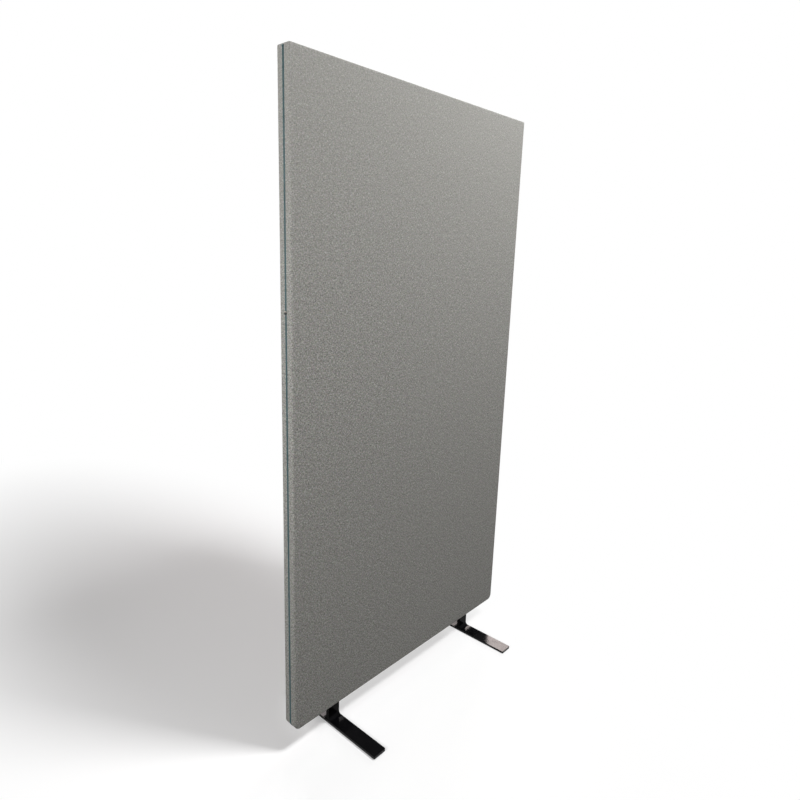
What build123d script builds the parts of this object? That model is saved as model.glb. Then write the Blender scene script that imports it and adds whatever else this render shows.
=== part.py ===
from build123d import *

import os

# Acoustic divider screen: an upholstered panel on two flat T feet.
# X runs across the panel, -Y is its front, Z is up. The origin is on the floor, in the middle.
# All sizes are in millimetres.

# Panel, over its fabric
panel_width = 1000
panel_height = 1800
floor_gap = 70
bottom_corner_radius = 20
top_corner_radius = 4
edge_radius = 4

# Layers over the timber frame
cover_thickness = 1
facing_thickness = 5
edge_wadding_thickness = 4

# Timber frame, with a septum board in its grooves
frame_depth = 34
stile_width = 45
top_rail_height = 45
mid_rail_height = 45
bottom_rail_height = 95
septum_thickness = 4
groove_depth = 8

# Countersunk wood screws of the frame
frame_screw_length = 80
frame_screw_radius = 2.5
frame_screw_head_radius = 4.8
frame_screw_place_share = 0.25

# Zip on each upright edge
zip_opening = 6.8
zip_parting = 0.6
zip_top_margin = 4
chain_width = 6
chain_proud = 0.8
chain_edge_radius = 0.8
tape_width = 13
tape_thickness = 0.6
tape_tail = 12
stop_length = 3
stop_proud = 0.4

# Zip slider, which has a bridge but no pull tab
slider_height = 1268
slider_length = 9
slider_width = 8
slider_plate = 1
slider_flange = 0.6
slider_neck_thickness = 0.4
slider_neck_length = 3.5
slider_corner_radius = 2.4
bridge_length = 6
bridge_height = 2
bridge_width = 2.4
bridge_wall = 0.9

# Feet: a flat bar along the floor, with an upright plate welded on its middle
foot_inset = 164
foot_length = 410
bar_width = 47
bar_thickness = 8
bar_tip_radius = 3
upright_width = 43
upright_thickness = 12
upright_insertion = 75
weld_radius = 12
weld_toe = 0.6
foot_eased_radius = 0.5

# Pads under the tips of the bars
pad_thickness = 1.5
pad_length = 42
pad_width = 41
pad_setback = 2
pad_corner_radius = 3

# Sockets in the bottom rail, which take the uprights of the feet
socket_wall = 2
socket_depth = 78
flange_length = 108
flange_width = 30
flange_thickness = 2
flange_corner_radius = 4
socket_screw_length = 25
socket_screw_radius = 2
socket_screw_head_radius = 3.8
socket_screw_spacing_x = 88
socket_screw_spacing_y = 14

# Bolts across the rail, the socket and both straps
bolt_radius = 3
bolt_head_radius = 5.4
bolt_head_height = 3.6
bolt_spacing = 30
bolt_first_height = 28
nut_radius = 5.8
nut_height = 3.2
washer_radius = 7
washer_thickness = 1.2
bolt_recess_radius = 8
bolt_recess_depth = 5.5
bolt_end = 0.8

# Clearances
wood_clearance = 0.3
groove_clearance = 0.1
screw_clearance = 0.05
socket_clearance = 0.3
bolt_clearance = 0.25
slider_clearance = 0.2
channel_clearance = 0.4
cover_clearance = 0.3
overrun = 5

# Sizes worked out from the ones above
panel_thickness = frame_depth + 2 * (facing_thickness + cover_thickness)
panel_top = floor_gap + panel_height
frame_inset = cover_thickness + edge_wadding_thickness
frame_half_width = panel_width / 2 - frame_inset
frame_bottom = floor_gap + frame_inset
frame_top = panel_top - frame_inset
rail_half_length = frame_half_width - stile_width
bottom_rail_top = frame_bottom + bottom_rail_height
top_rail_bottom = frame_top - top_rail_height
mid_rail_middle = (bottom_rail_top + top_rail_bottom) / 2
mid_rail_bottom = mid_rail_middle - mid_rail_height / 2
mid_rail_top = mid_rail_middle + mid_rail_height / 2
foot_centre = panel_width / 2 - foot_inset
upright_top = frame_bottom + upright_insertion
bolt_heights = (frame_bottom + bolt_first_height, frame_bottom + bolt_first_height + bolt_spacing)

SIDES = (("left", -1), ("right", 1))
FACES = (("front", -1), ("back", 1))
BAYS = (
    ("lower", bottom_rail_top, mid_rail_bottom),
    ("upper", mid_rail_top, top_rail_bottom),
)

os.makedirs("parts", exist_ok=True)


def keep(builder, name):
    """Labels a finished piece and writes it."""
    builder.part.label = name
    export_step(builder.part, f"parts/{name}.step")


def panel_outline(inset):
    """The panel's outline seen from the front, drawn in by an inset from the face of its cover."""
    lower_radius = bottom_corner_radius - inset
    upper_radius = top_corner_radius - inset
    with BuildSketch(Plane.XY, mode=Mode.PRIVATE) as outline:
        with Locations((0, floor_gap + panel_height / 2)):
            Rectangle(panel_width - 2 * inset, panel_height - 2 * inset)
        if lower_radius > 0:
            fillet(outline.vertices().group_by(Axis.Y)[0], lower_radius)
        if upper_radius > 0:
            fillet(outline.vertices().group_by(Axis.Y)[-1], upper_radius)
    return outline.sketch


def block(x_range, y_range, z_range, mode=Mode.ADD):
    """A plain block between three pairs of coordinates."""
    size = [high - low for low, high in (x_range, y_range, z_range)]
    middle = [(low + high) / 2 for low, high in (x_range, y_range, z_range)]
    with Locations(tuple(middle)):
        Box(*size, mode=mode)


def edge_band(side, outer_inset, inner_inset, y_range, top, tail=0, mode=Mode.ADD):
    """A band down one upright edge and round its bottom corner, between two insets.

    Its tail is the length that it runs on past the corner, along the bottom edge.
    """
    low, high = y_range
    edge = side * (panel_width / 2 + overrun)
    reach = side * (panel_width / 2 - bottom_corner_radius - tail)
    with BuildSketch(Plane.XZ.offset(-low)) as band:
        add(panel_outline(outer_inset))
        add(panel_outline(inner_inset), mode=Mode.SUBTRACT)
        with Locations(((edge + reach) / 2, (floor_gap - overrun + top) / 2)):
            Rectangle(abs(edge - reach), top - floor_gap + overrun, mode=Mode.INTERSECT)
    extrude(band.sketch, amount=low - high, mode=mode)


def wood_screw(length, radius, head_radius):
    """A countersunk wood screw along Z: its flat head is at the origin and its point is up."""
    head_depth = head_radius - radius
    with BuildPart(mode=Mode.PRIVATE) as screw:
        with BuildSketch(Plane.XZ):
            with BuildLine():
                Polyline(
                    (0, 0),
                    (head_radius, 0),
                    (radius, head_depth),
                    (radius, length - 2 * radius),
                    (0, length),
                    close=True,
                )
            make_face()
        revolve(axis=Axis.Z)
    return screw.part


def screw_hole(length, radius, head_radius):
    """The countersunk hole that a wood screw stands in, a clearance larger all round."""
    wide = radius + screw_clearance
    wide_head = head_radius + screw_clearance
    with BuildPart(mode=Mode.PRIVATE) as hole:
        with BuildSketch(Plane.XZ):
            with BuildLine():
                Polyline(
                    (0, -overrun),
                    (wide_head, -overrun),
                    (wide_head, 0),
                    (wide, wide_head - wide),
                    (wide, length + screw_clearance),
                    (0, length + screw_clearance),
                    close=True,
                )
            make_face()
        revolve(axis=Axis.Z)
    return hole.part


def frame_screw_planes(side):
    """Where the frame screws of one stile stand: two at the end of each rail, pointing inwards."""
    rails = (
        (frame_bottom + bottom_rail_height / 2, bottom_rail_height),
        (mid_rail_middle, mid_rail_height),
        (frame_top - top_rail_height / 2, top_rail_height),
    )
    heights = [
        middle + way * frame_screw_place_share * height
        for middle, height in rails
        for way in (-1, 1)
    ]
    return [Plane(origin=(side * frame_half_width, 0, height), z_dir=(-side, 0, 0)) for height in heights]


def socket_screw_planes(side):
    """Where the socket screws of one foot stand: at the corners of the flange, pointing up."""
    return [
        Plane(origin=(
            side * foot_centre + x_way * socket_screw_spacing_x / 2,
            y_way * socket_screw_spacing_y / 2,
            frame_bottom,
        ))
        for x_way in (-1, 1)
        for y_way in (-1, 1)
    ]


def drill_bolt_holes(side, radius, y_range):
    """Holes for the foot bolts of one side, along Y."""
    low, high = y_range
    with BuildSketch(Plane.XZ.offset(-low)) as holes:
        with Locations(*[(side * foot_centre, height) for height in bolt_heights]):
            Circle(radius)
    extrude(holes.sketch, amount=low - high, mode=Mode.SUBTRACT)


# Timber frame: stiles and rails
half_depth = frame_depth / 2
groove_half = septum_thickness / 2 + groove_clearance
frame_corner_radius = bottom_corner_radius - frame_inset
frame_screw_hole = screw_hole(frame_screw_length, frame_screw_radius, frame_screw_head_radius)
socket_screw_hole = screw_hole(socket_screw_length, socket_screw_radius, socket_screw_head_radius)

for side_name, side in SIDES:
    with BuildPart() as stile:
        outer = side * frame_half_width
        inner = side * rail_half_length
        block(sorted((outer, inner)), (-half_depth, half_depth), (frame_bottom, frame_top))
        if frame_corner_radius > 0:
            lowest = stile.edges().filter_by(Axis.Y).group_by(Axis.Z)[0]
            fillet(lowest.sort_by(Axis.X)[0 if side < 0 else -1], frame_corner_radius)
        groove = sorted((inner - side * overrun, inner + side * groove_depth))
        through = (frame_bottom - overrun, frame_top + overrun)
        block(groove, (-groove_half, groove_half), through, Mode.SUBTRACT)
        with Locations(*frame_screw_planes(side)):
            add(frame_screw_hole, mode=Mode.SUBTRACT)
    keep(stile, f"frame_{side_name}_stile")

RAILS = (
    ("top", top_rail_bottom, frame_top, (False, True)),
    ("mid", mid_rail_bottom, mid_rail_top, (True, True)),
    ("bottom", frame_bottom, bottom_rail_top, (True, False)),
)
for rail_name, low, high, (groove_above, groove_below) in RAILS:
    with BuildPart() as rail:
        block((-rail_half_length, rail_half_length), (-half_depth, half_depth), (low, high))
        along = (-rail_half_length - overrun, rail_half_length + overrun)
        across = (-groove_half, groove_half)
        if groove_above:
            block(along, across, (high - groove_depth, high + overrun), Mode.SUBTRACT)
        if groove_below:
            block(along, across, (low - overrun, low + groove_depth), Mode.SUBTRACT)
        for _, side in SIDES:
            with Locations(*[plane for plane in frame_screw_planes(side) if low < plane.origin.Z < high]):
                add(frame_screw_hole, mode=Mode.SUBTRACT)
        if rail_name == "bottom":
            for _, side in SIDES:
                # Pocket for the socket, recess for its flange, and recesses for the bolts
                pocket_half_x = upright_width / 2 + socket_clearance + socket_wall + wood_clearance
                pocket_half_y = upright_thickness / 2 + socket_clearance + socket_wall + wood_clearance
                centre = side * foot_centre
                block(
                    (centre - pocket_half_x, centre + pocket_half_x),
                    (-pocket_half_y, pocket_half_y),
                    (frame_bottom - overrun, frame_bottom + socket_depth + wood_clearance),
                    Mode.SUBTRACT,
                )
                recess_half_x = flange_length / 2 + wood_clearance
                recess_half_y = flange_width / 2 + wood_clearance
                block(
                    (centre - recess_half_x, centre + recess_half_x),
                    (-recess_half_y, recess_half_y),
                    (frame_bottom - overrun, frame_bottom + flange_thickness),
                    Mode.SUBTRACT,
                )
                with Locations(*socket_screw_planes(side)):
                    add(socket_screw_hole, mode=Mode.SUBTRACT)
                drill_bolt_holes(side, bolt_radius + bolt_clearance, (-half_depth, half_depth))
                for low_y, high_y in (
                    (-half_depth - overrun, -half_depth + bolt_recess_depth),
                    (half_depth - bolt_recess_depth, half_depth + overrun),
                ):
                    drill_bolt_holes(side, bolt_recess_radius, (low_y, high_y))
    keep(rail, f"frame_{rail_name}_rail")

with BuildPart() as frame_screws:
    with Locations(*frame_screw_planes(-1), *frame_screw_planes(1)):
        add(wood_screw(frame_screw_length, frame_screw_radius, frame_screw_head_radius))
keep(frame_screws, "frame_screws")

# Septum boards in the grooves, with absorber slabs on both faces
for bay_name, low, high in BAYS:
    tongue = groove_depth - wood_clearance
    with BuildPart() as septum:
        block(
            (-rail_half_length - tongue, rail_half_length + tongue),
            (-septum_thickness / 2, septum_thickness / 2),
            (low - tongue, high + tongue),
        )
    keep(septum, f"{bay_name}_septum")
    for face_name, face in FACES:
        with BuildPart() as absorber:
            block(
                (-rail_half_length + wood_clearance, rail_half_length - wood_clearance),
                sorted((face * septum_thickness / 2, face * half_depth)),
                (low + wood_clearance, high - wood_clearance),
            )
        keep(absorber, f"{bay_name}_{face_name}_absorber")

# Facing sheets over the whole frame, rounded where the cover turns the edge
for face_name, face in FACES:
    with BuildPart() as facing:
        with BuildSketch(Plane.XZ.offset(-face * half_depth)):
            add(panel_outline(cover_thickness))
        extrude(amount=-face * facing_thickness)
        outer_face = facing.faces().sort_by(Axis.Y)[0 if face < 0 else -1]
        fillet(outer_face.edges(), edge_radius - cover_thickness)
    keep(facing, f"{face_name}_facing")

# Edge wadding between the frame and the cover, with a bed for the zip tapes and
# a channel for the slider
back_plate_inset = cover_thickness + tape_thickness + slider_clearance
channel_floor_inset = back_plate_inset + slider_plate + channel_clearance
bed_half = tape_width + cover_clearance
bed_tail = tape_tail + cover_clearance
bed_bottom_inset = cover_thickness + tape_thickness
channel_half = slider_width / 2 + channel_clearance


def cut_tape_bed(side):
    """Cuts the shallow bed in which the tapes of one zip lie."""
    across = (-bed_half, bed_half)
    edge_band(side, -overrun, bed_bottom_inset, across, frame_top, bed_tail, Mode.SUBTRACT)


for side_name, side in SIDES:
    with BuildPart() as edge_wadding:
        edge_band(side, cover_thickness, frame_inset, (-half_depth, half_depth), frame_top)
        cut_tape_bed(side)
        channel = (-channel_half, channel_half)
        edge_band(side, -overrun, channel_floor_inset, channel, frame_top, mode=Mode.SUBTRACT)
    keep(edge_wadding, f"{side_name}_edge_wadding")

slot_half_x = upright_width / 2 + cover_clearance
slot_half_y = upright_thickness / 2 + cover_clearance
with BuildPart() as bottom_wadding:
    straight_half = panel_width / 2 - bottom_corner_radius
    between = (floor_gap + cover_thickness, frame_bottom)
    block((-straight_half, straight_half), (-half_depth, half_depth), between)
    for _, side in SIDES:
        centre = side * foot_centre
        block(
            (centre - slot_half_x, centre + slot_half_x),
            (-slot_half_y, slot_half_y),
            (floor_gap, frame_bottom + overrun),
            Mode.SUBTRACT,
        )
        cut_tape_bed(side)
keep(bottom_wadding, "bottom_edge_wadding")

with BuildPart() as top_wadding:
    with BuildSketch(Plane.XZ.offset(-half_depth)):
        add(panel_outline(cover_thickness))
        with Locations((0, (frame_top + panel_top) / 2)):
            Rectangle(panel_width, panel_top - frame_top, mode=Mode.INTERSECT)
    extrude(amount=frame_depth)
keep(top_wadding, "top_edge_wadding")

# Fabric covers: two trays that meet in a seam in the middle of the top and bottom edges
zip_top = panel_top - zip_top_margin
for face_name, face in FACES:
    with BuildPart() as cover:
        with BuildSketch(Plane.XZ):
            add(panel_outline(0))
        extrude(amount=-face * panel_thickness / 2)
        outer_face = cover.faces().sort_by(Axis.Y)[0 if face < 0 else -1]
        fillet(outer_face.edges(), edge_radius)
        seam_face = cover.faces().sort_by(Axis.Y)[-1 if face < 0 else 0]
        offset(amount=-cover_thickness, openings=seam_face)
        for _, side in SIDES:
            zip_half = zip_opening / 2
            slot = (-zip_half, zip_half)
            edge_band(side, -overrun, frame_inset, slot, zip_top, stop_length, Mode.SUBTRACT)
            centre = side * foot_centre
            block(
                (centre - slot_half_x, centre + slot_half_x),
                (-slot_half_y, slot_half_y),
                (floor_gap - overrun, frame_bottom),
                Mode.SUBTRACT,
            )
    keep(cover, f"{face_name}_cover")

# Zips
for side_name, side in SIDES:
    parting_half = zip_parting / 2
    chain_half = chain_width / 2
    for face_name, face in FACES:
        with BuildPart() as tape:
            across = sorted((face * parting_half, face * tape_width))
            edge_band(side, cover_thickness, bed_bottom_inset, across, frame_top, tape_tail)
        keep(tape, f"{side_name}_zip_{face_name}_tape")

        with BuildPart() as chain:
            across = sorted((face * parting_half, face * chain_half))
            edge_band(side, -chain_proud, cover_thickness, across, zip_top - stop_length)
            long_edges = chain.edges().sort_by(SortBy.LENGTH)[-4:]
            shoulder = max(long_edges, key=lambda edge: abs(edge.center().X) + abs(edge.center().Y))
            fillet(shoulder, chain_edge_radius)
        keep(chain, f"{side_name}_zip_{face_name}_chain")

    stop_outer = side * (panel_width / 2 + chain_proud + stop_proud)
    stop_inner = side * (panel_width / 2 - cover_thickness)
    with BuildPart() as top_stops:
        for _, face in FACES:
            block(
                sorted((stop_outer, stop_inner)),
                sorted((face * parting_half, face * chain_half)),
                (zip_top - stop_length, zip_top),
            )
    keep(top_stops, f"{side_name}_zip_top_stops")

    # The bottom stop clasps the end of the chain, just past the rounded corner
    stop_start = side * (panel_width / 2 - bottom_corner_radius)
    with BuildPart() as bottom_stop:
        block(
            sorted((stop_start, stop_start - side * stop_length)),
            (-chain_half, chain_half),
            (floor_gap - chain_proud - stop_proud, floor_gap + cover_thickness),
        )
    keep(bottom_stop, f"{side_name}_zip_bottom_stop")

    # The slider's two plates run over and under the chain, joined by a neck in its parting line
    with BuildPart() as slider:
        plate_in = panel_width / 2 + chain_proud + slider_clearance
        plate_out = plate_in + slider_plate
        back_out = panel_width / 2 - back_plate_inset
        back_in = back_out - slider_plate
        half_width = slider_width / 2
        ends = (slider_height - slider_length / 2, slider_height + slider_length / 2)
        block(sorted((side * plate_in, side * plate_out)), (-half_width, half_width), ends)
        block(sorted((side * back_in, side * back_out)), (-half_width, half_width), ends)
        fillet(slider.edges().filter_by(Axis.X), slider_corner_radius)
        for _, face in FACES:
            block(
                sorted((side * (panel_width / 2 + cover_clearance), side * plate_in)),
                sorted((face * (half_width - slider_flange), face * half_width)),
                (ends[0] + slider_corner_radius, ends[1] - slider_corner_radius),
            )
        neck_half = slider_neck_thickness / 2
        neck_ends = (ends[1] - slider_neck_length, ends[1])
        block(sorted((side * back_in, side * plate_out)), (-neck_half, neck_half), neck_ends)
        bridge_half = bridge_width / 2
        foot_low = slider_height - bridge_length / 2
        foot_high = slider_height + bridge_length / 2
        bridge_out = plate_out + bridge_height
        block(
            sorted((side * plate_out, side * bridge_out)),
            (-bridge_half, bridge_half),
            (foot_low, foot_high),
        )
        block(
            sorted((side * plate_out, side * (bridge_out - bridge_wall))),
            (-half_width, half_width),
            (foot_low + bridge_wall, foot_high - bridge_wall),
            Mode.SUBTRACT,
        )
    keep(slider, f"{side_name}_zip_slider")

# Feet
bar_top = pad_thickness + bar_thickness
upright_half = upright_thickness / 2
weld_top = bar_top + weld_toe
weld_half = upright_half + weld_radius + weld_toe
for side_name, side in SIDES:
    centre = side * foot_centre
    with BuildPart() as bar:
        with BuildSketch(Plane.XY.offset(pad_thickness)):
            with Locations((centre, 0)):
                RectangleRounded(bar_width, foot_length, bar_tip_radius)
        extrude(amount=bar_thickness)
        fillet(bar.faces().filter_by(Axis.Z).edges(), foot_eased_radius)
    keep(bar, f"{side_name}_foot_bar")

    # The plate widens at its foot into the two weld seams, which end in a low toe
    with BuildPart() as upright:
        with BuildSketch(Plane.YZ.offset(centre)) as profile:
            with BuildLine():
                Polyline(
                    (-weld_half, bar_top),
                    (weld_half, bar_top),
                    (weld_half, weld_top),
                    (upright_half, weld_top),
                    (upright_half, upright_top),
                    (-upright_half, upright_top),
                    (-upright_half, weld_top),
                    (-weld_half, weld_top),
                    close=True,
                )
            make_face()
            for _, face in FACES:
                hollow_place = (face * upright_half, weld_top, 0)
                fillet(profile.vertices().sort_by_distance(hollow_place)[0], weld_radius)
        extrude(amount=upright_width / 2, both=True)
        top_edges = upright.faces().sort_by(Axis.Z)[-1].edges()
        long_edges = [edge for edge in upright.edges().filter_by(Axis.Z) if edge.length > weld_radius]
        fillet(top_edges + long_edges, foot_eased_radius)
        drill_bolt_holes(side, bolt_radius + bolt_clearance, (-half_depth, half_depth))
    keep(upright, f"{side_name}_foot_upright")

    for face_name, face in FACES:
        tip = face * foot_length / 2
        with BuildPart() as pad:
            pad_middle = tip - face * (pad_setback + pad_length / 2)
            with BuildSketch(Plane.XY):
                with Locations((centre, pad_middle)):
                    RectangleRounded(pad_width, pad_length, pad_corner_radius)
            extrude(amount=pad_thickness)
        keep(pad, f"{side_name}_foot_{face_name}_pad")

    with BuildPart() as socket:
        sleeve_half_x = upright_width / 2 + socket_clearance + socket_wall
        sleeve_half_y = upright_thickness / 2 + socket_clearance + socket_wall
        with BuildSketch(Plane.XY.offset(frame_bottom)):
            with Locations((centre, 0)):
                RectangleRounded(flange_length, flange_width, flange_corner_radius)
        extrude(amount=flange_thickness)
        block(
            (centre - sleeve_half_x, centre + sleeve_half_x),
            (-sleeve_half_y, sleeve_half_y),
            (frame_bottom, frame_bottom + socket_depth),
        )
        block(
            (centre - sleeve_half_x + socket_wall, centre + sleeve_half_x - socket_wall),
            (-sleeve_half_y + socket_wall, sleeve_half_y - socket_wall),
            (frame_bottom - overrun, frame_bottom + socket_depth + overrun),
            Mode.SUBTRACT,
        )
        with Locations(*socket_screw_planes(side)):
            add(socket_screw_hole, mode=Mode.SUBTRACT)
        drill_bolt_holes(side, bolt_radius + bolt_clearance, (-half_depth, half_depth))
    keep(socket, f"{side_name}_foot_socket")

    with BuildPart() as socket_screws:
        with Locations(*socket_screw_planes(side)):
            add(wood_screw(socket_screw_length, socket_screw_radius, socket_screw_head_radius))
    keep(socket_screws, f"{side_name}_foot_socket_screws")

    # Each bolt's head is in the front recess of the rail, and its nut is in the back one
    seat = half_depth - bolt_recess_depth
    head_seat = seat + washer_thickness
    nut_end = seat + washer_thickness + nut_height
    bolt_places = [(centre, height) for height in bolt_heights]
    with BuildPart() as bolts:
        with BuildSketch(Plane.XZ.offset(head_seat)):
            with Locations(*bolt_places):
                RegularPolygon(bolt_head_radius, side_count=6)
        extrude(amount=bolt_head_height)
        with BuildSketch(Plane.XZ.offset(head_seat)):
            with Locations(*bolt_places):
                Circle(bolt_radius)
        extrude(amount=-(head_seat + nut_end + bolt_end))
    keep(bolts, f"{side_name}_foot_bolts")

    with BuildPart() as washers:
        for offset_y in (seat, -head_seat):
            with BuildSketch(Plane.XZ.offset(offset_y)):
                with Locations(*bolt_places):
                    Circle(washer_radius)
                    Circle(bolt_radius + screw_clearance, mode=Mode.SUBTRACT)
            extrude(amount=washer_thickness)
    keep(washers, f"{side_name}_foot_washers")

    with BuildPart() as nuts:
        with BuildSketch(Plane.XZ.offset(-head_seat)):
            with Locations(*bolt_places):
                RegularPolygon(nut_radius, side_count=6)
                Circle(bolt_radius + screw_clearance, mode=Mode.SUBTRACT)
        extrude(amount=-nut_height)
    keep(nuts, f"{side_name}_foot_nuts")
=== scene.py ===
import math

import bmesh
import bpy
from mathutils import Matrix, Vector, noise


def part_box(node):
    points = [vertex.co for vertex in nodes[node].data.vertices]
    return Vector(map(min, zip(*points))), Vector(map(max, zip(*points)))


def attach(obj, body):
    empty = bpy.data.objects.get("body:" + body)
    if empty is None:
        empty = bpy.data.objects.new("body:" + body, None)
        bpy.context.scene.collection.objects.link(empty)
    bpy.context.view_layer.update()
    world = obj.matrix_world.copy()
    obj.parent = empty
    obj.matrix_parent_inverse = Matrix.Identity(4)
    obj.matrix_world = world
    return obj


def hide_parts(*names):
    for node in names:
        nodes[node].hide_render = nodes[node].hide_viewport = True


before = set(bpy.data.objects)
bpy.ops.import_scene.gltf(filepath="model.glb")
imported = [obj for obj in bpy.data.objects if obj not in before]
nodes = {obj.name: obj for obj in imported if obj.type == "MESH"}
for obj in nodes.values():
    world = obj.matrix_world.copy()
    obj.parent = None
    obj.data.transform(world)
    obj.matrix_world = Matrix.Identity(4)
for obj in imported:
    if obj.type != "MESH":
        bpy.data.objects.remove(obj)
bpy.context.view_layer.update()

# ---- Timber frame
# Two stiles and three rails of planed softwood, grooved for the septum boards and screwed through
# the stiles. The grain runs along each piece, so stiles and rails have a material each.


def make_node(tree, kind, inputs=None, **settings):
    """Adds a node to a tree, with its settings and with a value or a link for each input given."""
    node = tree.nodes.new(kind)
    for name, value in settings.items():
        setattr(node, name, value)
    for name, value in (inputs or {}).items():
        if isinstance(value, bpy.types.NodeSocket):
            tree.links.new(value, node.inputs[name])
        else:
            node.inputs[name].default_value = value
    return node


def object_place(tree):
    """The place on a piece, in metres of the shared frame."""
    return make_node(tree, "ShaderNodeTexCoord").outputs["Object"]


def speckle(tree, place, **inputs):
    """A noise texture over a place, with its scale and detail as inputs."""
    return make_node(tree, "ShaderNodeTexNoise", {"Vector": place, **inputs})


def maths(tree, operation, *values):
    """The result of a Math node on numbers or links."""
    inputs = dict(enumerate(values))
    return make_node(tree, "ShaderNodeMath", inputs, operation=operation).outputs[0]


def colour_mix(tree, factor, first, second, **settings):
    """A mix of two colours, which are sockets 6 and 7 of a Mix node and give its output 2."""
    inputs = {"Factor": factor, 6: first, 7: second}
    return make_node(tree, "ShaderNodeMix", inputs, data_type="RGBA", **settings).outputs[2]


def shader_group(name, inputs, outputs):
    """Starts a shader node group and returns its tree, its input node and its output node."""
    tree = bpy.data.node_groups.new(name, "ShaderNodeTree")
    for label, kind, value in inputs:
        socket = tree.interface.new_socket(name=label, in_out="INPUT", socket_type=kind)
        socket.default_value = value
    for label, kind in outputs:
        tree.interface.new_socket(name=label, in_out="OUTPUT", socket_type=kind)
    return tree, tree.nodes.new("NodeGroupInput"), tree.nodes.new("NodeGroupOutput")


def finish_of(name, **surface):
    """Starts a material and returns it, its tree and its surface shader with plain values set."""
    material = bpy.data.materials.new(name)
    material.use_nodes = True
    tree = material.node_tree
    shader = tree.nodes["Principled BSDF"]
    for label, value in surface.items():
        shader.inputs[label.replace("_", " ")].default_value = value
    return material, tree, shader


def colour_ramp(tree, factor, stops):
    """A colour ramp over a factor, from pairs of place and colour."""
    ramp = make_node(tree, "ShaderNodeValToRGB", {"Fac": factor})
    band = ramp.color_ramp
    while len(band.elements) < len(stops):
        band.elements.new(0.5)
    for element, (place, colour) in zip(band.elements, stops):
        element.position = place
        element.color = (*colour, 1)
    return ramp.outputs["Color"]


def bump_on(tree, shader, height, strength, distance):
    """Feeds a height to the normal of a surface."""
    inputs = {"Height": height, "Strength": strength, "Distance": distance}
    bump = make_node(tree, "ShaderNodeBump", inputs)
    tree.links.new(bump.outputs["Normal"], shader.inputs["Normal"])


def dress(node_name, material):
    """Gives a solid of the frame its finish."""
    nodes[node_name].data.materials.clear()
    nodes[node_name].data.materials.append(material)


grain, grain_in, grain_out = shader_group(
    "softwood_grain",
    [
        ("Vector", "NodeSocketVector", (0, 0, 0)),
        ("Early wood", "NodeSocketColor", (0.72, 0.52, 0.31, 1)),
        ("Late wood", "NodeSocketColor", (0.47, 0.27, 0.12, 1)),
    ],
    [("Color", "NodeSocketColor"), ("Height", "NodeSocketFloat")],
)
grain_place = grain_in.outputs["Vector"]
wander = speckle(grain, grain_place, Scale=1.3, Detail=3)
bent = make_node(
    grain, "ShaderNodeVectorMath", {0: grain_place, 1: wander.outputs["Color"]}, operation="ADD"
)
rings = make_node(
    grain,
    "ShaderNodeTexWave",
    {"Vector": bent.outputs[0], "Scale": 2.2, "Distortion": 2.5, "Detail": 3, "Detail Scale": 1.5},
    wave_type="RINGS",
    rings_direction="Z",
)
pores = speckle(grain, grain_place, Scale=60, Detail=2)
early_wood, late_wood = grain_in.outputs["Early wood"], grain_in.outputs["Late wood"]
tone = colour_mix(grain, rings.outputs["Fac"], early_wood, late_wood)
height = maths(grain, "MULTIPLY", rings.outputs["Fac"], pores.outputs["Fac"])
grain.links.new(tone, grain_out.inputs["Color"])
grain.links.new(height, grain_out.inputs["Height"])


def softwood(name, across):
    """Planed softwood whose grain is long along one axis; across gives the scale of each axis."""
    material, tree, shader = finish_of(name, Roughness=0.62)
    place = object_place(tree)
    long_grain = make_node(tree, "ShaderNodeMapping", {"Vector": place, "Scale": across})
    wood = make_node(tree, "ShaderNodeGroup", {"Vector": long_grain.outputs[0]}, node_tree=grain)
    tree.links.new(wood.outputs["Color"], shader.inputs["Base Color"])
    bump_on(tree, shader, wood.outputs["Height"], strength=0.25, distance=0.0004)
    return material


along_grain, across_grain = 1.2, 28
upright_wood = softwood("stile_softwood", (across_grain, across_grain, along_grain))
level_wood = softwood("rail_softwood", (along_grain, across_grain, across_grain))
for stile in ("frame_left_stile", "frame_right_stile"):
    dress(stile, upright_wood)
for rail in ("frame_top_rail", "frame_mid_rail", "frame_bottom_rail"):
    dress(rail, level_wood)

# ---- Frame screws
# Countersunk steel wood screws with yellow zinc plating. Two go through each stile into each rail
# end, twelve in all.


def ranged(tree, value, source, target=(0, 1), **settings):
    """A value carried over from one range to another."""
    inputs = {"Value": value}
    inputs.update(zip(("From Min", "From Max", "To Min", "To Max"), (*source, *target)))
    return make_node(tree, "ShaderNodeMapRange", inputs, **settings).outputs[0]


plating, plating_in, plating_out = shader_group(
    "zinc_plating",
    [
        ("Light zinc", "NodeSocketColor", (0.62, 0.60, 0.55, 1)),
        ("Dull zinc", "NodeSocketColor", (0.40, 0.39, 0.37, 1)),
    ],
    [("Color", "NodeSocketColor"), ("Roughness", "NodeSocketFloat"), ("Height", "NodeSocketFloat")],
)
plating_place = object_place(plating)
spangle = make_node(plating, "ShaderNodeTexVoronoi", {"Vector": plating_place, "Scale": 420})
bloom = speckle(plating, plating_place, Scale=90, Detail=4)
patchy = maths(plating, "ADD", spangle.outputs["Distance"], bloom.outputs["Fac"])
light_zinc, dull_zinc = plating_in.outputs["Light zinc"], plating_in.outputs["Dull zinc"]
zinc_tone = colour_mix(plating, bloom.outputs["Fac"], light_zinc, dull_zinc)
zinc_rough = ranged(plating, patchy, (0.3, 1.3), (0.26, 0.5))
plating.links.new(zinc_tone, plating_out.inputs["Color"])
plating.links.new(zinc_rough, plating_out.inputs["Roughness"])
plating.links.new(patchy, plating_out.inputs["Height"])


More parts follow.
